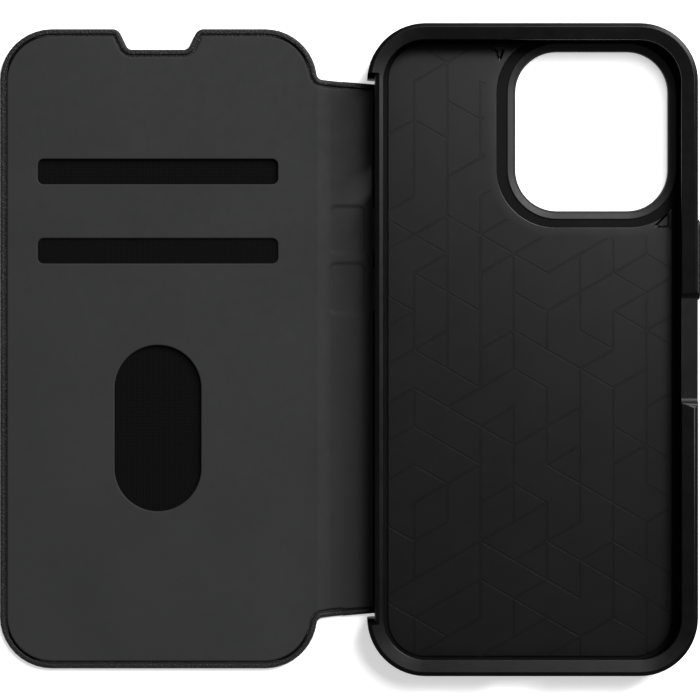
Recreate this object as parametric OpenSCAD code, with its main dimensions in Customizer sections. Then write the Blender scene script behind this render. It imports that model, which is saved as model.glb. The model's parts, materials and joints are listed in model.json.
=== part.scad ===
// Book-style wallet case for a slim phone, lying open on its back.
// Origin: centre of the shell's rear leather face. +X towards the catch side,
// +Y towards the camera end, +Z out of the tray. The cover lies on the -X side.

/* [Phone that it holds] */
// Width of the phone
phone_w = 71.5; // [70.5:0.1:72.5]
// Length of the phone
phone_l = 146.7; // [145:0.1:148]
// Room for the phone's thickness, with its running clearance
phone_room = 7.7; // [7.5:0.1:8.4]

/* [Shell] */
// Clearance between the phone and the side walls
phone_gap_x = 0.05; // [0.05:0.01:0.2]
// Clearance between the phone and the end walls
phone_gap_y = 0.2; // [0.1:0.05:0.4]
// Radius of the phone bay's corners
bay_r = 10.7; // [10.2:0.1:11.2]
// Thickness of the hard inner wall
hard_wall = 1.15; // [1.1:0.05:1.3]
// Thickness of the soft outer wall
soft_wall = 1.85; // [1.7:0.05:2.0]
// Thickness of the rear leather
back_leather_t = 0.7; // [0.6:0.05:0.8]
// Thickness of the hard floor
floor_t = 1.0; // [0.9:0.05:1.2]
// Thickness of the soft floor liner
liner_t = 0.4; // [0.3:0.05:0.5]
// Height of the hard wall above the table
hard_wall_top = 8.4; // [8.2:0.1:8.6]
// Height of the lip that holds the phone in
lip_t = 1.3; // [1.2:0.05:1.5]
// Reach of the lip over the screen edge
lip_reach = 0.9; // [0.7:0.05:1.0]

/* [Camera window] */
// Centre of the window across the shell
cam_x = 14.7; // [14:0.1:15]
// Centre of the window along the shell
cam_y = 51.9; // [51.5:0.1:52.2]
// Half width of the window
cam_hx = 18.15; // [17.5:0.05:18.5]
// Half length of the window
cam_hy = 18.95; // [18.5:0.05:19.2]
// Corner radius of the window
cam_r = 9.8; // [9:0.1:10]

/* [Keys and openings] */
// Length of each volume key
volume_key_l = 10.4; // [10:0.1:10.8]
// Centre of the volume up key along the shell
volume_up_y = 28.3; // [28:0.1:28.6]
// Centre of the volume down key along the shell
volume_down_y = 14.1; // [13.8:0.1:14.4]
// Length of the side key
side_key_l = 19.1; // [18:0.1:20]
// Centre of the side key along the shell
side_key_y = 21.2; // [21:0.1:22]
// Height of every key
key_h = 3.4; // [3:0.1:3.6]
// How far a volume key stands out of its wall
volume_key_out = 0.45; // [0.35:0.05:0.5]
// How far the side key stands out of its wall
side_key_out = 1.05; // [0.9:0.05:1.1]
// Width of the charging port opening
port_w = 14; // [12:0.5:15]

/* [Spine] */
// Thickness of the spine
spine_t = 1.3; // [1.25:0.05:1.3]
// Half height of the spine at the shell
spine_near_half = 62.95; // [62:0.05:63]
// Half height of the spine where it leaves the shell's lugs
spine_mid_half = 64.05; // [63.5:0.05:64.1]
// Half height of the spine at the cover
spine_far_half = 64.15; // [63.6:0.05:64.5]

/* [Cover] */
// Width of the cover
cover_w = 75.3; // [74:0.05:75.5]
// Height of the cover
cover_l = 152.2; // [150:0.1:152.5]
// Corner radius of the cover
cover_r = 12.4; // [11:0.1:13]
// Thickness of the cover
cover_t = 2.1; // [2.1:0.05:2.2]
// Air between the closed cover and the lip
closed_gap = 0.15; // [0.1:0.05:0.3]
// Length of both card slots
slot_l = 57.1; // [56:0.1:58]
// Width of both card slots
slot_w = 6.0; // [5.5:0.1:6.5]
// Centre of the upper card slot along the cover
upper_slot_y = 42.3; // [42:0.1:43]
// Centre of the lower card slot along the cover
lower_slot_y = 23.45; // [23:0.05:24]
// Width of the thumb window
thumb_w = 20.6; // [19:0.1:22]
// Length of the thumb window
thumb_l = 39.5; // [36:0.1:40]
// Centre of the thumb window along the cover
thumb_y = -18.7; // [-19:0.1:-18]

/* [Hidden] */
$fn = 64;
eps = 0.5; // overshoot of a cutting tool past the face that it cuts

// Colours
leather_color = [0.16, 0.16, 0.17];
lining_color = [0.24, 0.24, 0.25];
hard_color = [0.10, 0.10, 0.11];
soft_color = [0.13, 0.13, 0.14];
liner_color = [0.19, 0.19, 0.20];
weave_color = [0.07, 0.07, 0.075];
board_color = [0.45, 0.42, 0.38];
steel_color = [0.66, 0.67, 0.70];

// Levels of the shell, from the table up
floor_z = back_leather_t + floor_t;
rest_z = floor_z + liner_t;
lip_z = rest_z + phone_room;
shell_t = lip_z + lip_t;

// Outlines of the shell, all one rounded rectangle at different offsets
bay_hx = phone_w / 2 + phone_gap_x;
bay_hy = phone_l / 2 + phone_gap_y;
wall_t = hard_wall + soft_wall;
shell_hx = bay_hx + wall_t;
shell_hy = bay_hy + wall_t;
shell_r = bay_r + wall_t;
lip_w = wall_t + lip_reach;
hard_hx = bay_hx + hard_wall;
hard_hy = bay_hy + hard_wall;
hard_r = bay_r + hard_wall;
liner_margin_x = 2.05;
liner_margin_y = 0.65;
liner_r = 9;

// Rim section
foot_bevel = 1.2;
crown_run = 0.9;
crown_drop = 0.55;
crown_r = 0.5;
rim_fillet = 0.4;
lip_fillet = 0.35;

// Recess for the closed spine, between two lugs
recess_foot_half = 63.75;
recess_top_half = 64.7;
recess_flare_z = 7;
spine_gap = 0.25;

// Finger notch in the catch side's rim
notch_depth = 1.0;
notch_floor_z = shell_t - notch_depth;
notch_low_y = -11.8;
notch_high_y = 12.3;
notch_ramp = 2.7;

// Camera surround
bezel_body = 0.9;
bezel_flange = 1.75;
bezel_step = 0.6;
moat_x = 4.1;
moat_y = 3.5;
moat_r = 12.8;

// Keys
key_z = rest_z + phone_room / 2 - 0.05;
key_clear = 0.2;
key_r = 1.6;
key_seat = 0.65;
key_flange_out = 0.7;
key_flange_t = 0.4;
key_flange_back = 0.1;
key_flange_gap = 0.05;
key_edge = 0.25;
key_edge_t = 0.2;

// Openings in the walls
port_h = 5.0;
port_z = 5.7;
port_r = 0.8;
speaker_l = 12;
speaker_h = 3;
speaker_r = 1.49;
speaker_x = 18;
switch_l = 7.4;
switch_h = 4.8;
switch_y = 41.5;
switch_z = 5.6;

// Magnets in the cover and steel keepers in the rim
catch_l = 22;
catch_y = 27;
keeper_skin = 0.3;
keeper_foot = 0.1;
keeper_low = [bay_hx + keeper_skin, hard_wall_top + keeper_foot];
keeper_size = [1.8, 1.2];
magnet_w = 3.5;
magnet_skin = 0.3;

// Crease axes. The first lies in the outer face of the leather, so that the cover can
// fold flat behind the shell. The second lies inside the thickness of the cover.
crease1_x = -hard_hx - spine_gap - spine_t;
crease2_z = 1.25;
crease2_x = crease1_x - (shell_t + closed_gap + cover_t - crease2_z);
crease1_room = 0.3;
crease2_room_spine = 0.15;
crease2_room_cover = 0.25;
spine_near_x = crease1_x - crease1_room;
spine_far_x = crease2_x + crease2_room_spine;
spine_mid_x = crease1_x - shell_t;
leaf_cy = 0.2; // centre of the spine and the cover along the shell

// Spine layers
spine_skin = 0.6;
spine_board_t = 0.25;
spine_band = 1.3;
spine_groove = 0.35;
spine_board_end = 1.0;
spine_board_half = 61.4;
spine_band_z = 1.2;
pad_low_x = -47.8;
pad_high_x = -39.1;
pad_upper = [22.8, 34.4];
pad_lower = [8.4, 20.8];
pad_floor_z = 0.75;
pad_r = 1.6;
pad_wall = 0.4;

// Cover layers
cover_skin = 0.6;
board_t = 0.45;
weave_t = 0.15;
turned_t = 0.4;
turned_w = 5;
edge_band = 1.3;
edge_groove = 0.45;
edge_z = cover_t - 0.1;
board_z = cover_skin + board_t;
turned_z = board_z + turned_t;
lining_foot_z = turned_z + weave_t;
lining_sheet_z = cover_t - 0.35;
hem_w = 3.5;
spine_side_half = 62.15;
cover_near_x = crease2_x - crease2_room_cover;
cover_cx = cover_near_x - cover_w / 2;
slot_r = 1.4;
thumb_flat = 0.01;
weave_hem = 0.2;
weave_clear = 0.3;

// Notch for the ear speaker in the cover's top edge
ear_top_half = 9.45;
ear_bottom_half = 7.1;
ear_depth = 4.9;
ear_round_top = 2.2;
ear_round_bottom = 1.6;
ear_slope = atan((ear_top_half - ear_bottom_half) / ear_depth);

// ---- outlines ----

function unit(v) = v / norm(v);

// Points of one corner, turned through an arc of radius r
function corner(before, at, after, r, steps) =
    r <= 0 ? [at] :
    let (
        a = unit(before - at),
        b = unit(after - at),
        half = acos(a * b) / 2,
        centre = at + unit(a + b) * r / sin(half),
        first = at + a * r / tan(half) - centre,
        last = at + b * r / tan(half) - centre,
        from = atan2(first[1], first[0]),
        raw = atan2(last[1], last[0]) - from,
        turn = raw > 180 ? raw - 360 : raw < -180 ? raw + 360 : raw
    )
    [for (k = [0:steps]) centre + r * [cos(from + turn * k / steps), sin(from + turn * k / steps)]];

// A polygon whose corners are rounded by the radii given
function rounded(points, radii, steps = 6) =
    let (n = len(points))
    [for (i = [0:n - 1])
        each corner(points[(i + n - 1) % n], points[i], points[(i + 1) % n], radii[i], steps)];

module round_rect(hx, hy, r) {
    square([2 * hx, 2 * (hy - r)], center = true);
    square([2 * (hx - r), 2 * hy], center = true);
    for (sx = [-1, 1], sy = [-1, 1])
        translate([sx * (hx - r), sy * (hy - r)])
            circle(r);
}

// The 2D child, whose x points outwards and whose y is height, swept round a rounded rectangle
module swept_frame(hx, hy, r) {
    for (turn = [0, 180]) rotate([0, 0, turn]) {
        translate([hx, hy - r, 0])
            rotate([90, 0, 0])
                linear_extrude(2 * (hy - r))
                    children();
        translate([-(hx - r), hy, 0])
            rotate([90, 0, 90])
                linear_extrude(2 * (hx - r))
                    children();
        translate([hx - r, hy - r, 0])
            rotate_extrude(angle = 90)
                translate([r, 0])
                    children();
        translate([-(hx - r), hy - r, 0])
            rotate([0, 0, 90])
                rotate_extrude(angle = 90)
                    translate([r, 0])
                        children();
    }
}

module camera_outline(grow) {
    translate([cam_x, cam_y])
        round_rect(cam_hx + grow, cam_hy + grow, cam_r + grow);
}

// A rounded slot through a side wall, drawn in the wall's own plane and cut along X
module side_slot(x, y, z, l, h, r, depth) {
    translate([x, y, z])
        rotate([90, 0, 90])
            linear_extrude(depth)
                round_rect(l / 2, h / 2, r);
}

// The same through an end wall, cut along +Y
module end_slot(x, y, z, l, h, r, depth) {
    translate([x, y, z])
        mirror([0, 1, 0])
            rotate([90, 0, 0])
                linear_extrude(depth)
                    round_rect(l / 2, h / 2, r);
}

// ---- shell ----

module back_leather() {
    color(leather_color)
        linear_extrude(back_leather_t)
            difference() {
                round_rect(hard_hx, hard_hy, hard_r);
                camera_outline(bezel_body);
            }
}

// Key opening with its inner seat. side is the sign of the wall along X
module key_opening(side, y, l) {
    through = l + 2 * key_clear;
    reach = wall_t + 2 * eps;
    x = side > 0 ? bay_hx - eps : -bay_hx - reach + eps;
    side_slot(x, y, key_z, through, key_h + 2 * key_clear, key_r + key_clear, reach);
    seat_x = side > 0 ? bay_hx - eps : -bay_hx - key_seat;
    side_slot(seat_x, y, key_z, through + 2 * key_flange_out, key_h + 2 * (key_clear + key_flange_out),
        key_r, key_seat + eps);
}

module wall_openings() {
    key_opening(-1, volume_up_y, volume_key_l);
    key_opening(-1, volume_down_y, volume_key_l);
    key_opening(1, side_key_y, side_key_l);
    side_slot(-bay_hx - wall_t, switch_y, switch_z, switch_l, switch_h, port_r, wall_t + eps);
    end_slot(0, -shell_hy - eps, port_z, port_w, port_h, port_r, wall_t + 2 * eps);
    for (side = [-1, 1])
        end_slot(side * speaker_x, -shell_hy - eps, port_z, speaker_l, speaker_h,
            speaker_r, wall_t + 2 * eps);
}

module rear_shell() {
    color(hard_color)
        difference() {
            union() {
                translate([0, 0, back_leather_t])
                    linear_extrude(floor_t)
                        round_rect(hard_hx, hard_hy, hard_r);
                translate([0, 0, floor_z])
                    linear_extrude(hard_wall_top - floor_z)
                        difference() {
                            round_rect(hard_hx, hard_hy, hard_r);
                            round_rect(bay_hx, bay_hy, bay_r);
                        }
            }
            translate([0, 0, back_leather_t - eps])
                linear_extrude(floor_t + 2 * eps)
                    camera_outline(bezel_body);
            wall_openings();
        }
}

module rim_section() {
    polygon(rounded(
        [
            [-soft_wall, 0], [-foot_bevel, 0], [0, foot_bevel],
            [0, shell_t - crown_drop], [-crown_run, shell_t],
            [-lip_w, shell_t], [-lip_w, lip_z],
            [-wall_t, lip_z], [-wall_t, hard_wall_top], [-soft_wall, hard_wall_top],
        ],
        [0, 1, 1, crown_r, crown_r, lip_fillet, rim_fillet, 0, 0, 0], 4));
}

// The room between the lugs, flared towards the top as the spine strip is
module spine_recess() {
    foot = recess_foot_half;
    top = recess_top_half;
    translate([-shell_hx - eps, leaf_cy, 0])
        rotate([90, 0, 90])
            linear_extrude(shell_hx - hard_hx + eps)
                polygon([
                    [-foot, -eps], [foot, -eps], [foot, recess_flare_z], [top, shell_t], [top, shell_t + eps],
                    [-top, shell_t + eps], [-top, shell_t], [-foot, recess_flare_z],
                ]);
}

module keeper_bar(side) {
    translate([keeper_low[0], side * catch_y - catch_l / 2, keeper_low[1]])
        cube([keeper_size[0], catch_l, keeper_size[1]]);
}

module rim_bumper() {
    color(soft_color)
        difference() {
            swept_frame(shell_hx, shell_hy, shell_r)
                rim_section();
            spine_recess();
            translate([bay_hx - 2 * lip_reach, 0, 0])
                rotate([90, 0, 90])
                    linear_extrude(wall_t + 2 * lip_reach + eps)
                        polygon([
                            [notch_low_y - 2 * notch_ramp, shell_t + notch_depth],
                            [notch_low_y, notch_floor_z], [notch_high_y, notch_floor_z],
                            [notch_high_y + 2 * notch_ramp, shell_t + notch_depth],
                        ]);
            wall_openings();
            keeper_bar(1);
            keeper_bar(-1);
        }
}

module floor_liner() {
    color(liner_color)
        translate([0, 0, floor_z])
            linear_extrude(liner_t)
                difference() {
                    round_rect(bay_hx - liner_margin_x, bay_hy - liner_margin_y, liner_r);
                    translate([cam_x, cam_y])
                        round_rect(cam_hx + moat_x, cam_hy + moat_y, moat_r);
                }
}

// Body through the floor and leather, and a flange on the floor that steps back from the window
module camera_bezel() {
    color(hard_color) {
        linear_extrude(floor_z)
            difference() {
                camera_outline(bezel_body);
                camera_outline(0);
            }
        translate([0, 0, floor_z])
            linear_extrude(liner_t)
                difference() {
                    camera_outline(bezel_flange);
                    camera_outline(bezel_step);
                }
    }
}

module upper_keeper() {
    color(steel_color) keeper_bar(1);
}

module lower_keeper() {
    color(steel_color) keeper_bar(-1);
}

// ---- keys ----

// A key cap with a flange that is seated from inside the wall.
// side is the wall's sign along X, and face_x the distance of the cap's face from the origin.
module key_cap(side, y, l, face_x) {
    seat_x = bay_hx + key_seat - key_flange_back;
    flange_grow = key_flange_out - key_flange_gap;
    color(soft_color)
        mirror([side > 0 ? 0 : 1, 0, 0]) {
            side_slot(seat_x - key_flange_t, y, key_z, l + 2 * flange_grow,
                key_h + 2 * flange_grow, key_r, key_flange_t);
            side_slot(seat_x - key_flange_t / 2, y, key_z, l, key_h, key_r,
                face_x - key_edge_t - seat_x + key_flange_t / 2);
            side_slot(face_x - 1.5 * key_edge_t, y, key_z, l - 2 * key_edge, key_h - 2 * key_edge,
                key_r - key_edge, 1.5 * key_edge_t);
        }
}

module volume_up_key() {
    key_cap(-1, volume_up_y, volume_key_l, hard_hx + volume_key_out);
}

module volume_down_key() {
    key_cap(-1, volume_down_y, volume_key_l, hard_hx + volume_key_out);
}

module side_key() {
    key_cap(1, side_key_y, side_key_l, shell_hx + side_key_out);
}

// ---- spine ----

// Outline of the spine strip, narrower by inset along its two ends
module spine_outline(inset) {
    translate([0, leaf_cy])
        polygon([
            [spine_near_x, spine_near_half - inset], [spine_mid_x, spine_mid_half - inset],
            [spine_far_x, spine_far_half - inset], [spine_far_x, inset - spine_far_half],
            [spine_mid_x, inset - spine_mid_half], [spine_near_x, inset - spine_near_half],
        ]);
}

module key_pads(grow) {
    for (span = [pad_upper, pad_lower])
        translate([(pad_low_x + pad_high_x) / 2, (span[0] + span[1]) / 2])
            round_rect((pad_high_x - pad_low_x) / 2 + grow, (span[1] - span[0]) / 2 + grow, pad_r + grow);
}

module spine_board_outline() {
    difference() {
        translate([spine_far_x + spine_board_end, -spine_board_half])
            square([spine_near_x - spine_far_x - 2 * spine_board_end, 2 * spine_board_half]);
        intersection() {
            key_pads(pad_wall);
            translate([spine_far_x + spine_board_end, -spine_board_half])
                square([spine_near_x - spine_far_x, 2 * spine_board_half]);
        }
    }
}

module spine_leather() {
    color(leather_color) {
        linear_extrude(spine_skin)
            spine_outline(0);
        linear_extrude(spine_band_z)
            difference() {
                spine_outline(0);
                spine_outline(spine_band);
            }
    }
}

module spine_stiffener() {
    color(board_color)
        translate([0, 0, spine_skin])
            linear_extrude(spine_board_t)
                spine_board_outline();
}

module spine_lining() {
    color(lining_color)
        difference() {
            translate([0, 0, spine_skin])
                linear_extrude(spine_t - spine_skin)
                    spine_outline(spine_band + spine_groove);
            translate([0, 0, spine_skin - eps])
                linear_extrude(spine_board_t + eps)
                    spine_board_outline();
            translate([0, 0, pad_floor_z])
                linear_extrude(spine_t)
                    key_pads(0);
        }
}

// ---- cover ----

// The ear speaker's notch, deeper and wider by inset all round
module ear_notch(inset) {
    grow = inset * (1 / cos(ear_slope) - tan(ear_slope));
    top = ear_top_half + grow;
    bottom = ear_bottom_half + grow;
    shoulder = top + ear_round_top * 2;
    above = inset + ear_depth;
    convex = max(ear_round_top - inset, 0.3);
    concave = ear_round_bottom + inset;
    translate([cover_cx, leaf_cy + cover_l / 2 - inset])
        polygon(rounded(
            [
                [-shoulder, above], [-shoulder, 0], [-top, 0], [-bottom, -ear_depth],
                [bottom, -ear_depth], [top, 0], [shoulder, 0], [shoulder, above],
            ],
            [0, 0, convex, concave, concave, convex, 0, 0]));
}

module cover_outline(inset) {
    difference() {
        translate([cover_cx, leaf_cy])
            round_rect(cover_w / 2 - inset, cover_l / 2 - inset, cover_r - inset);
        ear_notch(inset);
    }
}

// The strip of the cover's near edge through which the lining runs on into the spine
module spine_side(depth, half) {
    translate([cover_near_x - depth, -half])
        square([depth, 2 * half]);
}

module card_slot(y, grow) {
    translate([cover_cx, y])
        round_rect(slot_l / 2 + grow, slot_w / 2 + grow, slot_r + grow);
}

module thumb_window(grow) {
    translate([cover_cx, thumb_y])
        round_rect(thumb_w / 2 + grow, thumb_l / 2 + grow, thumb_w / 2 + grow - thumb_flat);
}

module magnet_outline(side) {
    translate([cover_near_x - cover_w + edge_band + magnet_skin, side * catch_y - catch_l / 2])
        square([magnet_w, catch_l]);
}

module cover_leather() {
    color(leather_color)
        difference() {
            union() {
                linear_extrude(cover_skin)
                    cover_outline(0);
                linear_extrude(edge_z)
                    difference() {
                        cover_outline(0);
                        cover_outline(edge_band);
                        spine_side(2 * edge_band, spine_side_half);
                    }
                // the edge turned in over the board
                translate([0, 0, board_z])
                    linear_extrude(turned_t)
                        difference() {
                            cover_outline(edge_band / 2);
                            cover_outline(turned_w);
                            spine_side(turned_w + eps, spine_side_half);
                        }
            }
            translate([0, 0, cover_skin])
                linear_extrude(cover_t) {
                    magnet_outline(1);
                    magnet_outline(-1);
                }
        }
}

module cover_board() {
    color(board_color)
        translate([0, 0, cover_skin])
            linear_extrude(board_t)
                difference() {
                    cover_outline(edge_band);
                    magnet_outline(1);
                    magnet_outline(-1);
                }
}

module upper_card_pocket() {
    color(weave_color)
        translate([0, 0, board_z])
            linear_extrude(weave_t)
                cover_outline(turned_w + weave_hem);
}

module lower_card_pocket() {
    color(weave_color)
        translate([0, 0, turned_z])
            linear_extrude(weave_t)
                difference() {
                    cover_outline(edge_band + edge_groove + weave_hem);
                    card_slot(upper_slot_y, weave_clear);
                    thumb_window(weave_clear);
                }
}

module cover_lining() {
    color(lining_color)
        difference() {
            union() {
                translate([0, 0, lining_sheet_z])
                    linear_extrude(cover_t - lining_sheet_z)
                        lining_outline();
                translate([0, 0, lining_foot_z])
                    linear_extrude(lining_sheet_z - lining_foot_z)
                        difference() {
                            lining_outline();
                            cover_outline(edge_band + edge_groove + hem_w);
                        }
            }
            translate([0, 0, lining_foot_z - eps])
                linear_extrude(cover_t) {
                    card_slot(upper_slot_y, 0);
                    card_slot(lower_slot_y, 0);
                    thumb_window(0);
                }
        }
}

module lining_outline() {
    cover_outline(edge_band + edge_groove);
    spine_side(2 * (edge_band + edge_groove), spine_side_half - spine_groove);
}

module magnet_bar(side) {
    color(steel_color)
        translate([0, 0, cover_skin])
            linear_extrude(turned_z - cover_skin)
                magnet_outline(side);
}

module upper_magnet() {
    magnet_bar(1);
}

module lower_magnet() {
    magnet_bar(-1);
}

back_leather();
rear_shell();
rim_bumper();
floor_liner();
camera_bezel();
upper_keeper();
lower_keeper();
volume_up_key();
volume_down_key();
side_key();
spine_leather();
spine_stiffener();
spine_lining();
cover_leather();
cover_board();
cover_lining();
upper_card_pocket();
lower_card_pocket();
upper_magnet();
lower_magnet();
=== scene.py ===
"""Looks of the book-style wallet phone case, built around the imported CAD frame.

Lengths are millimetres in the shared frame: +X towards the catch side, +Y towards the camera end,
+Z out of the tray. Meshes are written in metres.
"""

import json
import math
import random

import bmesh
import bpy
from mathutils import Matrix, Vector, geometry, noise


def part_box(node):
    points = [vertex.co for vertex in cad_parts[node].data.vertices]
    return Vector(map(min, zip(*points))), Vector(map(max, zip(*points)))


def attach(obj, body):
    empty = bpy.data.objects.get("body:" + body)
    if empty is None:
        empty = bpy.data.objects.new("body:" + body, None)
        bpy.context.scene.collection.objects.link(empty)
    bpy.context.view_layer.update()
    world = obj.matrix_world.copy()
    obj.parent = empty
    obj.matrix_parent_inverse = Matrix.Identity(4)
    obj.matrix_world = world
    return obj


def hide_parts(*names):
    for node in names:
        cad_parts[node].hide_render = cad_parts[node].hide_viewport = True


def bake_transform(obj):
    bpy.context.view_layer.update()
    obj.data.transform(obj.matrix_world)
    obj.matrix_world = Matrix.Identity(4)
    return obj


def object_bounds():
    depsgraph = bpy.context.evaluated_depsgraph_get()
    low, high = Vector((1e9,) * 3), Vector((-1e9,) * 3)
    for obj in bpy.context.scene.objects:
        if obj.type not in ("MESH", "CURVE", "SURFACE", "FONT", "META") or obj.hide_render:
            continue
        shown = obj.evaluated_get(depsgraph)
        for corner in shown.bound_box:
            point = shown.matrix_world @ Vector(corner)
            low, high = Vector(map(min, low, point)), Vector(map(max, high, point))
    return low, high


MM = 0.001

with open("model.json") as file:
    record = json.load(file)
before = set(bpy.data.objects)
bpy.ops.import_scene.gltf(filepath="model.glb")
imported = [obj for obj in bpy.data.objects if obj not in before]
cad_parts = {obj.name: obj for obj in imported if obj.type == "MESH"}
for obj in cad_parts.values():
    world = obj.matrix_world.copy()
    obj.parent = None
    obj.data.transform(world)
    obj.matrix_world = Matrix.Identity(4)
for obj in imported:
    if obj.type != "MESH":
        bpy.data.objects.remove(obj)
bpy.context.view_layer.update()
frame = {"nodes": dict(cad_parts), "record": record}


def box(node):
    """Lowest and highest corner of a CAD node, in millimetres."""
    low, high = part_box(node)
    return Vector(low) / MM, Vector(high) / MM


# ---------------------------------------------------------------- sizes from the frame
shell_low, shell_high = box("rear_shell")
rim_low, rim_high = box("rim_bumper")
back_high = box("back_leather")[1]
liner_low, liner_high = box("floor_liner")
ring_low, ring_high = box("camera_bezel")
cover_low, cover_high = box("cover_leather")

WALL = 3.0  # hard and soft wall together
SOFT_WALL = 1.85
LIP_REACH = 0.9
LIP_HEIGHT = 1.3
SHELL_R = 13.7
HARD_R, BACK_NEAR_R = 11.85, 11.3  # the back leather's corners, away from the spine and near it
BEZEL_FLANGE = 1.75  # reach of the camera bezel's flange past the window
WINDOW_R = 9.8
COVER_R = 12.4

shell_hx, shell_hy = rim_high.x, rim_high.y
bay_hx, bay_hy = shell_hx - WALL, shell_hy - WALL
lip_z = rim_high.z - LIP_HEIGHT
floor_z, pad_z = liner_low.z, liner_high.z
window = Vector(((ring_low.x + ring_high.x) / 2, (ring_low.y + ring_high.y) / 2))
window_hx = (ring_high.x - ring_low.x) / 2 - BEZEL_FLANGE
window_hy = (ring_high.y - ring_low.y) / 2 - BEZEL_FLANGE

joint_at = {j["name"]: [c / MM for c in j["pos_m"]] for j in frame["record"]["behaviour"]["joints"]
            if j["type"] == "hinge"}
crease1_x = joint_at["spine_fold"][0]
crease2_x = joint_at["cover_fold"][0]
split_x = (crease1_x + crease2_x) / 2
cover_near, cover_far = cover_high.x, cover_low.x
cover_cx = (cover_near + cover_far) / 2
cover_top, cover_bottom = cover_high.y, cover_low.y

# Half heights of the spine strip at the first crease, and at LUG_X where it leaves the lugs
SPINE_NEAR, SPINE_MID = 62.95, 64.05
LUG_X = -49.6
LEAF_Y = (cover_top + cover_bottom) / 2  # centre of the spine and the cover along the shell


# ---------------------------------------------------------------- outlines and solids
STRAIGHT = 1e-6  # cross product of two directions that counts as no corner
LEAST_R = 0.03
WELD = 1e-7  # metres
CUT = 1e-8  # metres


def smooth(t):
    """Eases from 0 to 1 as t goes from 0 to 1."""
    t = min(max(t, 0.0), 1.0)
    return t * t * (3 - 2 * t)


def outline(corners, inset=0.0, steps=6):
    """Rounded outline whose edges are moved inwards by inset. Corners run anticlockwise as
    (x, y, radius, share of the inset taken by the edge that starts here, its segments)."""
    n = len(corners)
    shares = [c[3] if len(c) > 3 else 1 for c in corners]
    lines = []
    for i, c in enumerate(corners):
        a, b = Vector(c[:2]), Vector(corners[(i + 1) % n][:2])
        d = (b - a).normalized()
        lines.append((a + Vector((-d.y, d.x)) * inset * shares[i], d))
    arcs = []
    for i, c in enumerate(corners):
        (p0, d0), (p1, d1) = lines[i - 1], lines[i]
        cross = d0.x * d1.y - d0.y * d1.x
        if abs(cross) < STRAIGHT:
            arcs.append([p1.copy()])
            continue
        gap = p1 - p0
        at = p0 + d0 * ((gap.x * d1.y - gap.y * d1.x) / cross)
        if c[2] <= 0:
            arcs.append([at])
            continue
        turn = math.atan2(cross, d0.dot(d1))
        side = 1 if turn > 0 else -1
        r = max(c[2] - side * inset * shares[i], LEAST_R)
        centre = at - d0 * r * math.tan(abs(turn) / 2) + Vector((-d0.y, d0.x)) * side * r
        start = math.atan2(-d0.x * side, d0.y * side)
        angles = [start + turn * k / steps for k in range(steps + 1)]
        arcs.append([centre + Vector((math.cos(a), math.sin(a))) * r for a in angles])
    points = []
    for i, arc in enumerate(arcs):
        points += arc
        parts = corners[i][4] if len(corners[i]) > 4 else 1
        nxt = arcs[(i + 1) % n][0]
        points += [arc[-1].lerp(nxt, k / parts) for k in range(1, parts)]
    return points


def rectangle(hx, hy, r, cx=0.0, cy=0.0):
    """Corners of a rounded rectangle from its half sizes, radius and centre."""
    return [(cx - hx, cy - hy, r), (cx + hx, cy - hy, r), (cx + hx, cy + hy, r), (cx - hx, cy + hy, r)]


class Solid:
    """A mesh grown from rings of points. place maps (u, v, height) to (x, y, z)."""

    def __init__(self, place=None):
        self.points, self.flat, self.faces = [], [], []
        self.place = place or (lambda u, v, w: (u, v, w))

    def ring(self, points, height):
        first = len(self.points)
        for p in points:
            self.points.append(self.place(p.x, p.y, height))
            self.flat.append(Vector((p.x, p.y, 0)))
        return list(range(first, len(self.points)))

    def bridge(self, a, b):
        n = len(a)
        self.faces += [(a[i], a[(i + 1) % n], b[(i + 1) % n], b[i]) for i in range(n)]

    def close(self, loops):
        """Joins each loop to the next and the last to the first, as round a ring."""
        for a, b in zip(loops, loops[1:] + loops[:1]):
            self.bridge(a, b)

    def cap(self, *loops):
        """Closes the first loop with faces that leave the other loops open."""
        ids = [i for loop in loops for i in loop]
        for t in geometry.tessellate_polygon([[self.flat[i] for i in loop] for loop in loops]):
            self.faces.append(tuple(ids[k] for k in t))

    def rings(self, corners, profile, steps=6):
        """Rings of one outline, one for each (inset, height) of the profile, joined up."""
        made = [self.ring(outline(corners, i, steps), h) for i, h in profile]
        for a, b in zip(made, made[1:]):
            self.bridge(a, b)
        return made

    def plug(self, corners, profile, steps=6):
        """Rings of one outline, closed by a cap at both ends."""
        self.close_ends(self.rings(corners, profile, steps))

    def hole(self, corners, profile, steps=6):
        """Rings of a hole; the profile's insets grow into the sheet round it."""
        return self.rings(corners, [(-g, h) for g, h in profile], steps)

    def close_ends(self, outer, *holes):
        """Closes both ends of a sheet round its holes."""
        for end in (0, -1):
            self.cap(outer[end], *[hole[end] for hole in holes])


def tidy_mesh(bm, sharp):
    """Welds the mesh and shades it smooth, with sharp edges from that many degrees up."""
    bmesh.ops.remove_doubles(bm, verts=bm.verts[:], dist=WELD)
    bmesh.ops.dissolve_degenerate(bm, edges=bm.edges[:], dist=WELD)
    bmesh.ops.recalc_face_normals(bm, faces=bm.faces[:])
    for f in bm.faces:
        f.smooth = True
    for e in bm.edges:
        e.smooth = len(e.link_faces) == 2 and e.calc_face_angle(0) < math.radians(sharp)


def cut_plane(bm, geom, axis, at, **options):
    """Cuts geom by the plane where the axis (0 for X, 1 for Y) has the value at."""
    place, normal = [0, 0, 0], [0, 0, 0]
    place[axis], normal[axis] = at * MM, 1
    return bmesh.ops.bisect_plane(bm, geom=geom, dist=CUT, plane_co=place, plane_no=normal, **options)


def everything(bm):
    """All of the mesh, as the operators take it."""
    return bm.verts[:] + bm.edges[:] + bm.faces[:]


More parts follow.
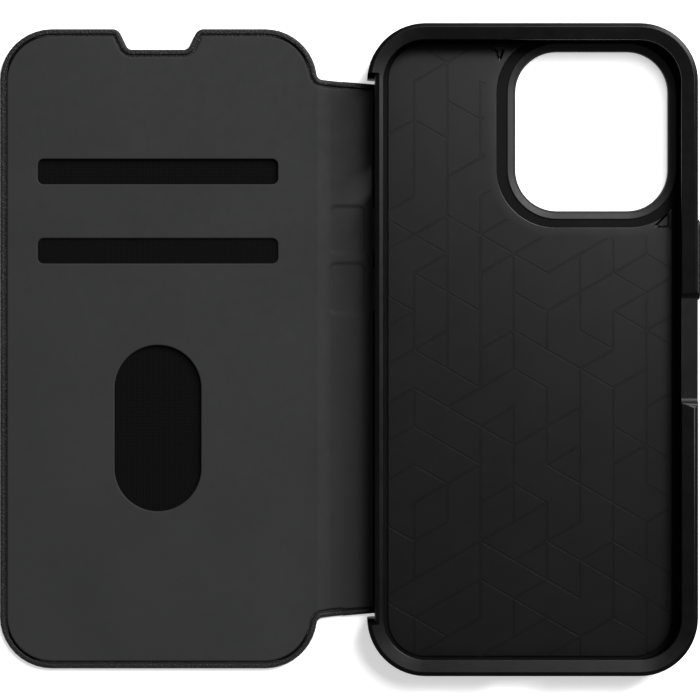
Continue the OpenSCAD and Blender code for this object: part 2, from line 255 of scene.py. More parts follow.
def to_object(name, solid, cuts=(), sharp=35, edit=None):
    """The solid as an object; cuts are the X places where extra edges let it bend."""
    bm = bmesh.new()
    verts = [bm.verts.new(Vector(p) * MM) for p in solid.points]
    for f in solid.faces:
        bm.faces.new([verts[i] for i in f])
    bmesh.ops.recalc_face_normals(bm, faces=bm.faces[:])
    for x in cuts:
        cut_plane(bm, everything(bm), 0, x)
    if edit:
        edit(bm)
    tidy_mesh(bm, sharp)
    mesh = bpy.data.meshes.new(name)
    bm.to_mesh(mesh)
    bm.free()
    obj = bpy.data.objects.new(name, mesh)
    bpy.context.collection.objects.link(obj)
    return obj


def cut_square(bm, x, keep):
    """Cuts the mesh off at X = x, keeps the side that keep points to, and closes the end."""
    made = cut_plane(bm, everything(bm), 0, x, clear_outer=keep < 0, clear_inner=keep > 0)
    rim_edges = [e for e in made["geom_cut"] if isinstance(e, bmesh.types.BMEdge) and e.is_boundary]
    ends = bmesh.ops.holes_fill(bm, edges=rim_edges, sides=0)["faces"]
    bmesh.ops.triangulate(bm, faces=ends, ngon_method="EAR_CLIP")


def weigh(obj):
    """Keeps flat faces flat where they meet rounded edges."""
    mod = obj.modifiers.new("even_normals", "WEIGHTED_NORMAL")
    mod.keep_sharp = True
    mod.weight = 60
    return obj


def bake(obj):
    """Applies the object's modifiers."""
    graph = bpy.context.evaluated_depsgraph_get()
    mesh = bpy.data.meshes.new_from_object(obj.evaluated_get(graph), depsgraph=graph)
    obj.modifiers.clear()
    old, obj.data = obj.data, mesh
    bpy.data.meshes.remove(old)


def carve(obj, tool):
    """Takes tool out of obj, and uses the tool up."""
    mod = obj.modifiers.new("carve", "BOOLEAN")
    mod.operation, mod.object, mod.solver = "DIFFERENCE", tool, "EXACT"
    bake(obj)
    bpy.data.objects.remove(tool)


def retidy(obj, sharp):
    """Welds and shades a carved object again."""
    bm = bmesh.new()
    bm.from_mesh(obj.data)
    tidy_mesh(bm, sharp)
    bm.to_mesh(obj.data)
    bm.free()


def prism(name, corners, low, high, place=None, steps=6):
    """One outline carried straight from low to high."""
    s = Solid(place)
    s.plug(corners, [(0, low), (0, high)], steps)
    return to_object(name, s)


# ---------------------------------------------------------------- materials
NOISE_RANGE = (0.3, 0.7)  # where nearly all of a noise pattern's values lie


class Nodes:
    """Shader nodes of one material, on a Principled shader. Patterns take their scale in lumps per mm."""

    def __init__(self, name, color, roughness, **values):
        self.material = bpy.data.materials.new(name)
        self.material.use_nodes = True
        self.tree = self.material.node_tree
        self.shader = self.tree.nodes["Principled BSDF"]
        self.shader.inputs["Base Color"].default_value = (*color, 1)
        self.shader.inputs["Roughness"].default_value = roughness
        for key, value in values.items():
            self.shader.inputs[key.replace("_", " ")].default_value = value
        self.at = self.tree.nodes.new("ShaderNodeTexCoord").outputs["Object"]

    def add(self, kind, links=None, **values):
        node = self.tree.nodes.new(kind)
        for key, value in values.items():
            if key in node.inputs:
                node.inputs[key].default_value = value
            else:
                setattr(node, key, value)
        for key, source in (links or {}).items():
            self.tree.links.new(source, node.inputs[key])
        return node

    def scaled(self, per_mm, stretch=(1, 1, 1)):
        scale = [s * per_mm / MM for s in stretch]
        return {"Vector": self.add("ShaderNodeMapping", {"Vector": self.at}, Scale=scale).outputs[0]}

    def noise(self, per_mm, detail=3, stretch=(1, 1, 1)):
        made = self.add("ShaderNodeTexNoise", self.scaled(per_mm, stretch), Scale=1.0, Detail=detail)
        return made.outputs["Fac"]

    def cells(self, per_mm):
        """Distance to the edge of the nearest cell."""
        made = self.add("ShaderNodeTexVoronoi", self.scaled(per_mm), feature="DISTANCE_TO_EDGE", Scale=1.0)
        return made.outputs["Distance"]

    def math(self, operation, a, b):
        node = self.add("ShaderNodeMath", operation=operation)
        for socket, value in zip(node.inputs, (a, b)):
            if isinstance(value, (int, float)):
                socket.default_value = value
            else:
                self.tree.links.new(value, socket)
        return node.outputs[0]

    def remap(self, value, low, high, out_low, out_high):
        node = self.add("ShaderNodeMapRange", {"Value": value})
        for key, v in zip(("From Min", "From Max", "To Min", "To Max"), (low, high, out_low, out_high)):
            node.inputs[key].default_value = v
        return node.outputs[0]

    def drive(self, socket, source):
        self.tree.links.new(source, self.shader.inputs[socket])

    def vary_color(self, value, dark, light):
        ramp = self.add("ShaderNodeValToRGB", {"Fac": value})
        for stop, color, position in zip(ramp.color_ramp.elements, (dark, light), NOISE_RANGE):
            stop.color, stop.position = (*color, 1), position
        self.drive("Base Color", ramp.outputs[0])

    def vary_roughness(self, value, low, high):
        self.drive("Roughness", self.remap(value, *NOISE_RANGE, low, high))

    def bump(self, height, depth_mm):
        node = self.add("ShaderNodeBump", {"Height": height}, Distance=depth_mm * MM, Strength=1.0)
        self.drive("Normal", node.outputs[0])


def grey(level, warmth=0.0):
    """A grey, redder with more warmth."""
    return (level * (1 + warmth), level, level * (1 - warmth))


def leather_material():
    """Fine pebbled leather."""
    m = Nodes("fine_leather", grey(0.011), 0.5, Specular_IOR_Level=0.16)
    pebble = m.remap(m.cells(1.25), 0.0, 0.3, 0.0, 1.0)
    fine = m.noise(4.0, 4)
    broad = m.noise(0.06)
    # The colour is broad random tone, plus painted shade that darkens the creases between the pebbles
    tone = m.math("MULTIPLY", m.math("ADD", broad, pebble), 0.55)
    m.vary_color(tone, grey(0.006, -0.01), grey(0.0105, -0.01))
    m.vary_roughness(m.math("MULTIPLY", m.math("ADD", broad, fine), 0.5), 0.42, 0.6)
    m.bump(m.math("ADD", pebble, m.math("MULTIPLY", fine, 0.35)), 0.055)
    return m.material


def lining_material():
    """Smooth matt microfibre."""
    m = Nodes("microfibre_lining", grey(0.0155), 0.72,
              Specular_IOR_Level=0.12, Sheen_Weight=0.02, Sheen_Roughness=0.5)
    m.vary_color(m.noise(0.045), grey(0.0155, -0.012), grey(0.0175, -0.012))
    m.vary_roughness(m.noise(0.4, 4), 0.66, 0.78)
    m.bump(m.math("ADD", m.noise(6.0, 5), m.noise(2.2, 2)), 0.012)
    return m.material


def moulded_material(name, tone, specular, tones, patches, roughness, sheen_patches, grain, depth_mm):
    """A dark moulded plastic or rubber. tones are its darkest and lightest grey, roughness is
    (mean, lowest, highest), patches and sheen_patches are per mm, and grain is (per mm, detail)."""
    m = Nodes(name, grey(tone), roughness[0], Specular_IOR_Level=specular)
    m.vary_color(m.noise(patches), grey(tones[0]), grey(tones[1]))
    m.vary_roughness(m.noise(sheen_patches, 4), *roughness[1:])
    m.bump(m.noise(*grain), depth_mm)
    return m.material


THREAD_PITCH = 0.42


def weave_material():
    """Plain-woven pocket cloth, its threads over and under in turn."""
    m = Nodes("woven_pocket", grey(0.003), 0.8, Specular_IOR_Level=0.03)
    split = m.add("ShaderNodeSeparateXYZ", {"Vector": m.at})
    turn = math.pi / (THREAD_PITCH * MM)
    sx, sy = (m.math("SINE", m.math("MULTIPLY", split.outputs[axis], turn), 0) for axis in "XY")
    lift = m.math("MULTIPLY", m.math("MULTIPLY", sx, sy), 0.5)
    across = m.math("ADD", m.math("ABSOLUTE", sx, 0), lift)
    along = m.math("SUBTRACT", m.math("ABSOLUTE", sy, 0), lift)
    height = m.math("MAXIMUM", across, along)
    fuzz = m.noise(7.0)
    # Painted shade: the hollows between the threads are coloured darker than the thread crowns
    m.vary_color(m.math("MULTIPLY", height, 0.6), grey(0.0006), grey(0.003))
    m.vary_roughness(fuzz, 0.7, 0.9)
    m.bump(m.math("ADD", height, m.math("MULTIPLY", fuzz, 0.3)), 0.06)
    return m.material


def board_material():
    """Brown fibre board, streaked along its length."""
    m = Nodes("fibre_board", (0.2, 0.18, 0.16), 0.85)
    fibre = m.noise(1.2, 5, (1, 0.3, 1))
    m.vary_color(fibre, (0.17, 0.15, 0.13), (0.24, 0.215, 0.19))
    m.vary_roughness(m.noise(0.5), 0.8, 0.92)
    m.bump(fibre, 0.02)
    return m.material


def steel_material():
    """Brushed and plated steel."""
    m = Nodes("plated_steel", (0.55, 0.56, 0.58), 0.32, Metallic=1.0)
    brush = m.noise(3.0, 4, (6, 0.2, 1))
    m.vary_color(m.noise(0.3), (0.5, 0.51, 0.53), (0.6, 0.61, 0.63))
    m.vary_roughness(brush, 0.25, 0.42)
    m.bump(brush, 0.004)
    return m.material


LEATHER, LINING = leather_material(), lining_material()
WEAVE, BOARD, STEEL = weave_material(), board_material(), steel_material()
HARD = moulded_material("moulded_shell", tone=0.0025, specular=0.04, tones=(0.002, 0.003), patches=0.08,
                        roughness=(0.42, 0.37, 0.44), sheen_patches=0.5, grain=(5.0, 3), depth_mm=0.008)
SOFT = moulded_material("soft_touch_rim", tone=0.002, specular=0.125, tones=(0.001, 0.002), patches=0.1,
                        roughness=(0.32, 0.29, 0.35), sheen_patches=0.35, grain=(4.5, 4), depth_mm=0.009)
PAD = moulded_material("tray_pad", tone=0.0025, specular=0.24, tones=(0.0008, 0.0014), patches=0.07,
                       roughness=(0.3, 0.295, 0.31), sheen_patches=0.3, grain=(5.0, 4), depth_mm=0.008)
TRIM = moulded_material("camera_trim", tone=0.006, specular=0.23, tones=(0.0055, 0.0065), patches=0.1,
                        roughness=(0.5, 0.47, 0.53), sheen_patches=0.6, grain=(5.5, 3), depth_mm=0.0015)


def finish_piece(obj, material, slot, *nodes):
    """Gives the piece its material, and hides the CAD nodes that it replaces. slot is not used."""
    obj.data.materials.clear()
    obj.data.materials.append(material)
    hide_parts(*nodes)
    return obj


# ---------------------------------------------------------------- rim
def swept(name, section, hx, hy, r, steps=14):
    """The closed section, in (offset, height) points, carried round a rounded rectangle."""
    s = Solid()
    s.close([s.ring(outline(rectangle(hx + o, hy + o, r + o), 0, steps), h) for o, h in section])
    return to_object(name, s)


def end_prism(name, corners, low, high):
    """A prism whose outline lies in Y and Z, and that runs along X from low to high."""
    return prism(name, corners, low, high, place=lambda u, v, w: (w, u, v))


def side_prism(name, corners, low, high):
    """A prism whose outline lies in X and Z, and that runs along Y from low to high."""
    return prism(name, corners, low, high, place=lambda u, v, w: (u, w, v))


KEY_Z = (box("side_key")[0].z + box("side_key")[1].z) / 2
KEYS = {"volume_up_key": (-1, "volume_up"), "volume_down_key": (-1, "volume_down"),
        "side_key": (1, "side_button")}  # the side each key is on, and its body
KEY_R = 1.6
FLANGE, FLANGE_T = 0.65, 0.4  # how far a key's flange stands out all round its cap, and its thickness
KEY_GAP = 0.2
PORT_Z, PORT_HX, PORT_HZ, PORT_R = 5.7, 7, 2.5, 0.8
SPEAKER_X, SPEAKER_HX, SPEAKER_HZ, SPEAKER_R = 18, 6, 1.5, 1.49
RECESS_FOOT, RECESS_TOP = 63.75, 64.7  # half heights of the room for the closed spine between the lugs
FLARE_Z = 7.0  # from here up the room flares
NOTCH_LOW, NOTCH_HIGH, NOTCH_RAMP, NOTCH_DEPTH = -11.8, 12.3, 1.9, 1.0
RIM_DISH = 0.5  # how far the rim's top falls towards the lip
BEVEL, BEVEL_DROP = 0.95, 0.34  # width and height of the bevel along the rim's outer top edge
CLEAR = 2  # how far a cutter runs past the rim


def key_size(node):
    """Centre along the shell, half length and half height of a key's cap."""
    low, high = box(node)
    return (low.y + high.y) / 2, (high.y - low.y) / 2 - FLANGE, (high.z - low.z) / 2 - FLANGE


def recess_place(x, z, side):
    """Places the recess for the closed spine, which flares towards the top of the lugs."""
    flare = max((z - FLARE_Z) / (rim_high.z - FLARE_Z), 0)
    return x, LEAF_Y + side * (RECESS_FOOT + (RECESS_TOP - RECESS_FOOT) * flare), z


def rim():
    """The soft frame with its lip, lugs, finger notch and the openings in its walls."""
    top, lip_edge = rim_high.z, -WALL - LIP_REACH
    section = outline([
        (-WALL, shell_high.z, 0), (-SOFT_WALL, shell_high.z, 0), (-SOFT_WALL, 0, 0), (-1.2, 0, 0.9),
        (0, 1.2, 0.9), (0, top - BEVEL_DROP, 0.3), (-BEVEL, top, 0.5), (lip_edge, top - RIM_DISH, 0.25),
        (lip_edge, lip_z, 0.25), (-WALL, lip_z, 0.2)], 0, 5)
    obj = swept("rim_frame", section, shell_hx, shell_hy, SHELL_R)
    edge_x, past_x, above = shell_low.x, rim_low.x - CLEAR, top + CLEAR
    carve(obj, prism("recess", [
        (past_x, -1, 0), (edge_x, -1, 0), (edge_x, FLARE_Z, 0), (edge_x, top - 1.15, 0.6),
        (edge_x + 1.35, top - 0.06, 0.9), (edge_x + 1.5, above, 0), (past_x, above, 0), (past_x, FLARE_Z, 0)],
        -1, 1, place=recess_place))
    floor = top - NOTCH_DEPTH
    south, north = NOTCH_LOW - NOTCH_RAMP, NOTCH_HIGH + NOTCH_RAMP
    carve(obj, end_prism("notch", [
        (NOTCH_LOW, floor, 2.2), (NOTCH_HIGH, floor, 1.6), (north, top, 0), (north, above, 0),
        (south, above, 0), (south, top, 0)], bay_hx - 2 * LIP_REACH, shell_hx + CLEAR))
    y, half, high = key_size("side_key")
    hole = rectangle(half + KEY_GAP, high + KEY_GAP, KEY_R + KEY_GAP, y, KEY_Z)
    carve(obj, end_prism("key_hole", hole, bay_hx - 1, shell_hx + 1))
    end = (-shell_hy - 1, -bay_hy + 1)
    carve(obj, side_prism("port", rectangle(PORT_HX, PORT_HZ, PORT_R, 0, PORT_Z), *end))
    for x in (-SPEAKER_X, SPEAKER_X):
        carve(obj, side_prism("speaker", rectangle(SPEAKER_HX, SPEAKER_HZ, SPEAKER_R, x, PORT_Z), *end))
    retidy(obj, 40)
    weigh(obj)
    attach(obj, "shell")
    return finish_piece(obj, SOFT, "soft_rim", "rim_bumper")


# ---------------------------------------------------------------- keys
def key(node, side, body):
    """A key's cap with a crowned face and a flange behind the wall."""
    low, high = box(node)
    y, half, height = key_size(node)
    inner, outer = (low.x, high.x) if side > 0 else (-high.x, -low.x)
    s = Solid(place=lambda u, v, w: (side * w, u, v))
    s.plug(rectangle(half, height, KEY_R, y, KEY_Z), [
        (-FLANGE + 0.1, inner), (-FLANGE, inner + 0.08), (-FLANGE, inner + FLANGE_T - 0.08),
        (-FLANGE + 0.1, inner + FLANGE_T), (0, inner + FLANGE_T), (0, outer - 0.5),
        (0.08, outer - 0.26), (0.25, outer - 0.1), (0.5, outer - 0.03), (0.8, outer), (1.2, outer)], 8)
    obj = weigh(to_object(node + "_cap", s, sharp=50))
    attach(obj, body)
    return finish_piece(obj, SOFT, "soft_rim", node)


# ---------------------------------------------------------------- camera ring
def window_outline(grow=0.0):
    """The camera window's corners, moved outwards by grow."""
    return rectangle(window_hx + grow, window_hy + grow, WINDOW_R + grow, window.x, window.y)


def camera_ring():
    """The window's liner with the bevelled ring on the tray's floor; grown by the first of each pair."""
    s = Solid()
    section = [
        (0, 0.12), (0, floor_z - 0.14), (0.04, floor_z - 0.1), (0.42, floor_z - 0.08), (0.5, floor_z),
        (0.6, floor_z + 0.05), (1.64, pad_z - 0.11), (1.76, pad_z - 0.06), (1.84, pad_z - 0.05),
        (1.92, pad_z - 0.08), (2.0, floor_z - 0.02), (0.9, floor_z - 0.02), (0.9, 0.12), (0.78, 0), (0.12, 0)]
    s.close([s.ring(outline(window_outline(), -grow, 14), h) for grow, h in section])
    obj = weigh(to_object("camera_ring", s, sharp=40))
    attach(obj, "shell")
    return finish_piece(obj, TRIM, "camera_trim", "camera_bezel")


# ---------------------------------------------------------------- floor pad
UNIT = 9.1  # edge of the pattern's triangles
COLUMNS, ROWS = range(-6, 5), range(-10, 10)
CELL_STEPS = (2, 3, 3, 4, 5)  # how many triangles may join a cell's first
GROOVE_FOOT, GROOVE_EDGE, GROOVE_DEPTH = 0.1764, 0.2352, 0.12  # half widths of a debossed line, and its depth
MOAT_X, MOAT_Y, MOAT_R = 4.5, 3.9, 13.8  # reach past the window, and radius, of the sunk area round the ring
MOAT_SLOPE = 2.0
LINER_R = 9
BORDER = 0.7  # from the top of the moat's slope to the pattern
# Corners of the two small triangular reliefs beside the camera window
POCKETS = (((-8.7, 71.9), (-7.2, 68.0), (-5.7, 71.9)), ((33.2, 33.2), (29.0, 29.0), (33.2, 29.0)))
POCKET_DEPTH, POCKET_SLOPE, POCKET_R = 0.34, 0.55, 0.35


def moat_outline(grow):
    """Corners of the sunk area round the camera ring, moved outwards by grow."""
    return rectangle(window_hx + MOAT_X + grow, window_hy + MOAT_Y + grow, MOAT_R + grow, window.x, window.y)


def pad_outline(outset=0.0):
    """The pad's corners, moved outwards by outset."""
    return rectangle(liner_high.x + outset, liner_high.y + outset, LINER_R + outset)


def pattern_cells():
    """Groups of neighbouring triangles on a lattice with upright lines, drawn at random."""
    column = UNIT * math.cos(math.radians(30))
    choose = random.Random(11)
    triangles = []
    for i in COLUMNS:
        for j in ROWS:
            here, right, up, beyond = (i, j), (i + 1, j), (i, j + 1), (i + 1, j + 1)
            if i % 2 == 0:
                triangles += [(here, right, up), (right, beyond, up)]
            else:
                triangles += [(here, right, beyond), (here, beyond, up)]

    def sides(t):
        a, b, c = triangles[t]
        return (a, b), (b, c), (c, a)

    by_side = {}
    for t in range(len(triangles)):
        for side in sides(t):
            by_side.setdefault(frozenset(side), []).append(t)
    free = set(range(len(triangles)))
    order = list(range(len(triangles)))
    choose.shuffle(order)
    groups = []
    for start in order:
        if start not in free:
            continue
        group = [start]
        free.discard(start)
        for _ in range(choose.choice(CELL_STEPS)):
            near = [t for side in sides(group[-1]) for t in by_side[frozenset(side)] if t in free]
            if not near:
                break
            group.append(choose.choice(sorted(near)))
            free.discard(group[-1])
        groups.append(group)

    outlines = []
    for group in groups:
        directed = [side for t in group for side in sides(t)]
        follows = {a: b for a, b in directed if (b, a) not in directed}
        first = next(iter(follows))
        loop, at = [first], follows[first]
        while at != first:
            loop.append(at)
            at = follows[at]
        if len(loop) != len(follows):
            continue
        points = [Vector(((i + 0.5) * column, (j + (i % 2) / 2) * UNIT)) for i, j in loop]
        neighbours = zip(points[-1:] + points[:-1], points, points[1:] + points[:1])
        outlines.append([b for a, b, c in neighbours if abs((b - a).cross(c - b)) > STRAIGHT])
    return outlines


def pocket(points):
    """A cutter for a small triangular relief with sloping walls."""
    s = Solid()
    s.plug([(x, y, POCKET_R) for x, y in points],
           [(POCKET_SLOPE, pad_z - POCKET_DEPTH), (0, pad_z), (0, pad_z + 1)], 4)
    return to_object("pocket", s)


def floor_pad():
    """The pad with the moat round the camera ring and its debossed pattern."""
    s = Solid()
    s.plug(pad_outline(), [(0, floor_z), (0, pad_z - 0.12), (0.04, pad_z - 0.03), (0.15, pad_z)], 10)
    pad = to_object("tray_pad", s)
    moat = Solid()
    moat.plug(moat_outline(0), [
        (0, floor_z - 1), (0, pad_z - 0.14), (-0.06, pad_z - 0.05), (-0.16, pad_z - 0.009),
        (-MOAT_SLOPE, pad_z - 0.001), (-MOAT_SLOPE - 0.1, pad_z + 0.001), (-MOAT_SLOPE - 0.1, pad_z + 1)], 14)
    carve(pad, to_object("moat", moat))
    low, high = pad_z - GROOVE_DEPTH, pad_z + 0.3
    grooves = prism("grooves", pad_outline(1), low, high)
    carve(grooves, prism("border", moat_outline(MOAT_SLOPE + BORDER), low - 1, high + 1, steps=12))
    tiles = Solid()
    for cell in pattern_cells():
        tiles.plug([(p.x, p.y, 0.12) for p in cell], [
            (GROOVE_FOOT, low - 0.2), (GROOVE_FOOT, low), (GROOVE_EDGE, pad_z), (GROOVE_EDGE, high + 0.2)], 2)
    carve(grooves, to_object("tiles", tiles))
    carve(pad, grooves)
    for points in POCKETS:
        carve(pad, pocket(points))
    retidy(pad, 25)
    weigh(pad)
    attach(pad, "shell")
    return finish_piece(pad, PAD, "floor_pad", "floor_liner")


# ---------------------------------------------------------------- leather
SKIN = 0.6  # the leather's thickness
CREASE_CUTS = 14


def remap_heights(pairs, start, end):
    """An edit that takes heights from the first of each pair to the second, from X start to X end."""
    def level(z):
        for (a, to_a), (b, to_b) in zip(pairs, pairs[1:]):
            if z <= b:
                return to_a + (to_b - to_a) * (z - a) / (b - a)
        return z + pairs[-1][1] - pairs[-1][0]

    def change(bm):
        for v in bm.verts:
            z = v.co.z / MM
            share = smooth((v.co.x / MM - start) / (end - start))
            v.co.z = (z + (level(max(z, 0)) - z) * share) * MM
    return change


def bend_cuts(low, high):
    """Places across a crease where edges let the skin bend."""
    return [low + (high - low) * k / CREASE_CUTS for k in range(CREASE_CUTS + 1)]


PAST = 3.0  # how far a piece is drawn past the split before it is cut off
# Where the skins start and end to bend over the first and the second crease
SHELL_BEND = (crease1_x + 1.3, crease1_x - 1.3)
COVER_BEND = (crease2_x + 1.65, cover_near)


def spine_half(x):
    """Half the height of the spine strip at x."""
    return SPINE_NEAR + (SPINE_MID - SPINE_NEAR) * (crease1_x - x) / (crease1_x - LUG_X)


def back_and_spine_leather():
    """The shell's back panel and the spine's near half, one skin through the first crease."""
    hx, hy = back_high.x, back_high.y
    split = split_x - PAST
    half_split = spine_half(split)
    parts = 24
    corners = [
        (-hx, -hy, BACK_NEAR_R), (hx, -hy, HARD_R), (hx, hy, HARD_R), (-hx, hy, BACK_NEAR_R),
        (-hx, LEAF_Y + SPINE_NEAR, 0.25, 1, parts), (split, LEAF_Y + half_split, 0, 0),
        (split, LEAF_Y - half_split, 0, 1, parts), (-hx, LEAF_Y - SPINE_NEAR, 0.25)]

    skin = back_high.z
    s = Solid()
    rings = s.rings(corners, [
        (1.0, 0), (0.3, 0), (0.1, 0.06), (0.0, 0.25), (0.0, 0.95), (0.08, 1.1), (0.25, 1.19), (0.7, 1.22),
        (1.1, 1.18), (1.28, 0.9), (1.36, SKIN), (1.6, SKIN)], 10)
    s.close_ends(rings, s.hole(window_outline(), [(1.2, 0), (0.96, 0.05), (0.92, 0.2), (0.92, SKIN)], 12))
    thin = remap_heights([(0, 0), (0.25, 0.2), (SKIN, skin - 0.06), (1.22, skin)], -hx - 1.4, -hx)

    def shape(bm):
        cut_square(bm, split_x, 1)
        thin(bm)

    obj = to_object("back_and_spine_leather", s, bend_cuts(-hx + 0.05, SHELL_BEND[1]), 40, shape)
    weigh(obj)
    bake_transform(obj)
    return finish_piece(obj, LEATHER, "outer_leather", "back_leather", "spine_leather")


def cover_corners():
    """The cover and the spine's far half, drawn past the split at the middle of the spine.
    The near edge leans, so that its big corner runs on into the fillet at the strip."""
    past = split_x + PAST
    half_split, half_near = spine_half(past), spine_half(cover_near)
    foot_x, head_x = cover_near + 0.3, cover_near - 1.3
    mouth, foot, floor = 9.45, 7.1, cover_top - 4.9  # half widths of the ear speaker notch, and its floor
    return [
        (past, LEAF_Y + half_split, 0, 1, 16), (foot_x, LEAF_Y + half_near, 1.5),
        (head_x, cover_top, COVER_R), (cover_cx + mouth, cover_top, 2.2), (cover_cx + foot, floor, 1.6),
        (cover_cx - foot, floor, 1.6), (cover_cx - mouth, cover_top, 2.2), (cover_far, cover_top, COVER_R),
        (cover_far, cover_bottom, COVER_R), (head_x, cover_bottom, COVER_R),
        (foot_x, LEAF_Y - half_near, 1.5, 1, 16), (past, LEAF_Y - half_split, 0, 0)]


STEP = (cover_near, crease2_x + 3.4)  # where the cover's heights come down to the spine's


def cover_leather():
    """The cover's outer skin, turned in over the board, and on over the second crease to the split."""
    edge = cover_high.z
    s = Solid()
    s.plug(cover_corners(), [
        (3.0, 0), (1.0, 0), (0.45, 0.12), (0.12, 0.42), (0.0, 0.95), (0.0, 1.25), (0.09, 1.64),
        (0.28, edge - 0.08), (0.5, edge), (1.12, edge - 0.01), (1.22, edge - 0.08), (1.27, edge - 0.25),
        (1.3, 1.5), (2.3, 1.49), (2.35, 0.9), (2.4, SKIN), (3.0, SKIN)], 10)
    thin = remap_heights([(0, 0), (SKIN, SKIN), (1.49, SKIN + 0.01), (edge, 1.22)], *STEP)

    def shape(bm):
        cut_square(bm, split_x, -1)
        thin(bm)

    obj = to_object("cover_and_spine_leather", s, bend_cuts(*COVER_BEND) + bend_cuts(*STEP), 40, shape)
    weigh(obj)
    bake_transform(obj)
    return finish_piece(obj, LEATHER, "outer_leather", "cover_leather")


# ---------------------------------------------------------------- lining
LINING_SPINE_Z, PANEL_Z = box("spine_lining")[1].z, box("cover_lining")[1].z
LINING_SHEET = 0.35  # the lining's thickness over the cover
GROOVE_SPINE, GROOVE_COVER = 1.65, 1.85  # how far the lining's edge stands back from the leather's
PADS = ((28.6, 5.8), (14.6, 6.2))  # centre along the spine and half length of each finger pad
PAD_CX, PAD_HX, PAD_R, PAD_DEPTH, PAD_SLOPE = -43.45, 4.35, 1.6, 0.42, 0.7
PADS_LOW, PADS_HIGH = (-48.6, 6.5), (-38.4, 36.5)  # corners of the grid that the pads are pressed in on
PADS_PITCH, PADS_PAST = 0.35, 0.6  # the grid's pitch, and how far it runs past the split
SLOTS = (42.3, 23.45)  # centres of the card slots along the cover
SLOT_HX, SLOT_HY, SLOT_R = 28.55, 3.0, 1.4
THUMB_Y, THUMB_HX, THUMB_HY = -18.7, 10.3, 19.75


def pad_depth(x, y):
    """How far the lining is pressed in at the two pads that clear the volume keys."""
    deepest = 0.0
    for cy, hy in PADS:
        dx = max(abs(x - PAD_CX) - (PAD_HX - PAD_R), 0)
        dy = max(abs(y - cy) - (hy - PAD_R), 0)
        inside = PAD_R - math.hypot(dx, dy)
        deepest = max(deepest, PAD_DEPTH * smooth(inside / PAD_SLOPE + 0.15))
    return deepest


def subdivide_region(bm, low, high, pitch):
    """Cuts the mesh on a grid inside a box, so that its top can be shaped there."""
    for axis, (a, b) in enumerate(zip(low, high)):
        n = max(int((b - a) / pitch), 1)
        for k in range(n + 1):
            inside = [f for f in bm.faces if all(
                max(v.co[i] for v in f.verts) / MM >= low[i] and min(v.co[i] for v in f.verts) / MM <= high[i]
                for i in (0, 1))]
            geom = set(inside)
            for f in inside:
                geom.update(f.edges)
                geom.update(f.verts)
            cut_plane(bm, list(geom), axis, a + (b - a) * k / n)


def press_pads(bm, low, high, top):
    """Presses the pads into the top of the lining between the corners low and high."""
    subdivide_region(bm, low, high, PADS_PITCH)
    for v in bm.verts:
        if v.co.z / MM > top - 0.02:
            v.co.z -= pad_depth(v.co.x / MM, v.co.y / MM) * MM


def spine_lining():
    """The spine's lining, from the shell's wall over the first crease to the split."""
    wall = shell_low.x - 0.05
    past = split_x - PAST
    corners = [(wall, LEAF_Y - SPINE_NEAR, 0.3, 0.2), (wall, LEAF_Y + SPINE_NEAR, 0.3, 1, 8),
               (past, LEAF_Y + spine_half(past), 0, 0), (past, LEAF_Y - spine_half(past), 0, 1, 8)]
    top = LINING_SPINE_Z
    s = Solid()
    s.plug(corners, [
        (GROOVE_SPINE + 0.3, SKIN + 0.02), (GROOVE_SPINE, SKIN + 0.06), (GROOVE_SPINE, top - 0.2),
        (GROOVE_SPINE + 0.06, top - 0.06), (GROOVE_SPINE + 0.2, top), (GROOVE_SPINE + 0.45, top)], 4)

    def shape(bm):
        press_pads(bm, (split_x - PADS_PAST, PADS_LOW[1]), PADS_HIGH, top)
        cut_square(bm, split_x, 1)

    obj = to_object("spine_lining_near", s, bend_cuts(*SHELL_BEND), 60, shape)
    weigh(obj)
    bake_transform(obj)
    return finish_piece(obj, LINING, "lining", "spine_lining")


def cover_lining():
    """The cover's lining with its slots and window, on over the second crease to the split."""
    top, foot = PANEL_Z, PANEL_Z - LINING_SHEET
    s = Solid()
    outer = s.rings(cover_corners(), [(GROOVE_COVER + inset, h) for inset, h in (
        (0.6, foot), (0.0, foot), (0.0, top - 0.2), (0.06, top - 0.07), (0.2, top), (0.5, top))], 10)
    lip = [(0.3, foot), (0.0, foot), (0.0, top - 0.22), (0.05, top - 0.08), (0.18, top), (0.4, top)]
    holes = [s.hole(rectangle(SLOT_HX, SLOT_HY, SLOT_R, cover_cx, y), lip, 6) for y in SLOTS]
    holes.append(s.hole(rectangle(THUMB_HX, THUMB_HY, THUMB_HX - 0.01, cover_cx, THUMB_Y), lip, 20))
    s.close_ends(outer, *holes)
    thin = remap_heights([(0, 0), (foot, SKIN + 0.02), (top, LINING_SPINE_Z)], *STEP)

    def shape(bm):
        thin(bm)
        press_pads(bm, PADS_LOW, (split_x + PADS_PAST, PADS_HIGH[1]), LINING_SPINE_Z)
        cut_square(bm, split_x, -1)

    obj = to_object("cover_lining_panel", s, bend_cuts(*COVER_BEND) + bend_cuts(*STEP), 60, shape)
    weigh(obj)
    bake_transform(obj)
    return finish_piece(obj, LINING, "lining", "cover_lining")


# ---------------------------------------------------------------- pocket cloth
CLOTH_R = 8
CLOTH_NOTCH = (11.5, 9.5, 11.0, 2)  # half widths at mouth and floor, depth from the cover's end, radius
SLACK = 0.3  # how far a hole in the cloth stands back from the lining's
WAVES_X, WAVES_Y, WAVE_HEIGHT = 0.09, 0.07, 0.05  # waves per mm and their height
WAVE_PITCH = 3.0  # of the grid that the waves are drawn on


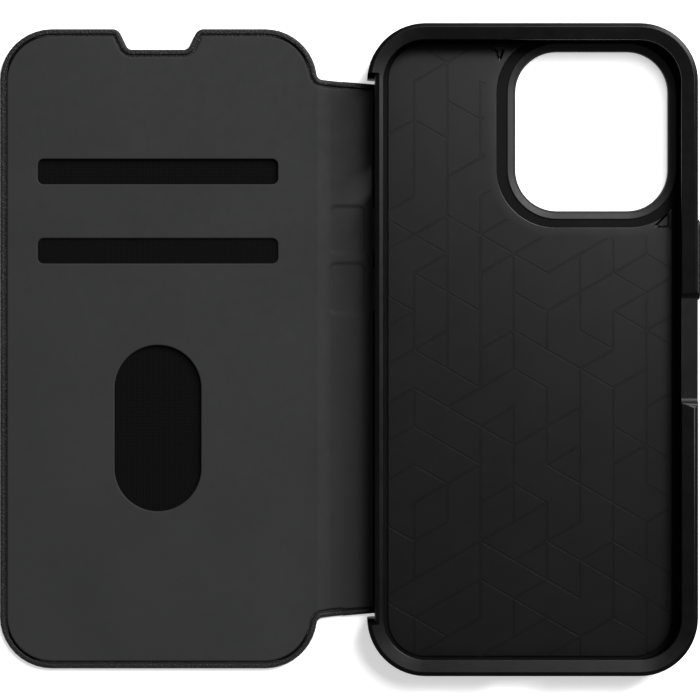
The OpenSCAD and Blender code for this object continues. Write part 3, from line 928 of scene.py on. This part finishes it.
def cloth(name, node, holes, seed):
    """A woven sheet between board and lining, with the slight waves of loose cloth."""
    low, high = box(node)
    mouth, foot, depth, r = CLOTH_NOTCH
    floor = cover_top - depth
    corners = [(low.x, low.y, CLOTH_R), (high.x, low.y, CLOTH_R), (high.x, high.y, CLOTH_R),
               (cover_cx + mouth, high.y, r), (cover_cx + foot, floor, r), (cover_cx - foot, floor, r),
               (cover_cx - mouth, high.y, r), (low.x, high.y, CLOTH_R)]
    edge = [(0.05, low.z), (0.0, (low.z + high.z) / 2), (0.05, high.z)]
    s = Solid()
    s.close_ends(s.rings(corners, edge), *[s.hole(hole, edge) for hole in holes])

    def wave(bm):
        subdivide_region(bm, (low.x, low.y), (high.x, high.y), WAVE_PITCH)
        for v in bm.verts:
            p = Vector((v.co.x / MM * WAVES_X, v.co.y / MM * WAVES_Y, seed))
            v.co.z += noise.noise(p) * WAVE_HEIGHT * MM

    obj = to_object(name, s, sharp=60, edit=wave)
    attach(obj, "cover")
    finish_piece(obj, WEAVE, "weave", node)
    return obj


# ---------------------------------------------------------------- assembly
rim()
for key_node, (key_side, key_body) in KEYS.items():
    key(key_node, key_side, key_body)
camera_ring()
floor_pad()
back_and_spine_leather()
cover_leather()
spine_lining()
cover_lining()
cloth("upper_pocket_cloth", "upper_card_pocket", [], 3.0)
cloth("lower_pocket_cloth", "lower_card_pocket", [
    rectangle(SLOT_HX + SLACK, SLOT_HY + SLACK, SLOT_R, cover_cx, SLOTS[0]),
    rectangle(THUMB_HX + SLACK, THUMB_HY + SLACK, THUMB_HX, cover_cx, THUMB_Y)], 8.0)

for node_name, material in {"rear_shell": HARD, "spine_stiffener": BOARD, "cover_board": BOARD,
                            "upper_keeper": STEEL, "lower_keeper": STEEL,
                            "upper_magnet": STEEL, "lower_magnet": STEEL}.items():
    mesh = frame["nodes"][node_name].data
    mesh.materials.clear()
    mesh.materials.append(material)

# ---------------------------------------------------------------- floor, light, camera
lowest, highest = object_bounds()
FLOOR_GAP = 0.0002  # metres
bpy.ops.mesh.primitive_plane_add(size=4, location=(0, 0, lowest.z - FLOOR_GAP))
floor = bpy.context.object
floor.name = "studio_floor"
paper = Nodes("studio_paper", grey(0.86), 0.9, Specular_IOR_Level=0.0,
              Emission_Color=(1, 1, 1, 1), Emission_Strength=0.5)
floor.data.materials.append(paper.material)

middle = (lowest + highest) / 2


def softbox(name, azimuth, elevation, distance, size, power):
    """A square area light that faces the object; azimuth is measured from +X towards +Y."""
    a, e = math.radians(azimuth), math.radians(elevation)
    way = Vector((math.cos(a) * math.cos(e), math.sin(a) * math.cos(e), math.sin(e)))
    data = bpy.data.lights.new(name, "AREA")
    data.shape, data.size, data.energy = "SQUARE", size, power
    lamp = bpy.data.objects.new(name, data)
    lamp.location = middle + way * distance
    lamp.rotation_euler = (-way).to_track_quat("-Z", "Y").to_euler()
    bpy.context.collection.objects.link(lamp)
    return lamp


softbox("key_light", azimuth=50, elevation=60, distance=1.6, size=0.6, power=26)
softbox("low_light", azimuth=46, elevation=30, distance=1.6, size=0.8, power=40)
world = bpy.data.worlds.new("studio")
bpy.context.scene.world = world
world.use_nodes = True
world.node_tree.nodes["Background"].inputs["Color"].default_value = (1, 1, 1, 1)
world.node_tree.nodes["Background"].inputs["Strength"].default_value = 0.2

bpy.context.scene.view_settings.view_transform = "Standard"

camera_data = bpy.data.cameras.new("camera")
camera_data.sensor_width, camera_data.lens = 36, 129.4
camera = bpy.data.objects.new("camera", camera_data)
camera.location = (-0.0428, -0.0001, 0.6001)
bpy.context.collection.objects.link(camera)
bpy.context.scene.camera = camera
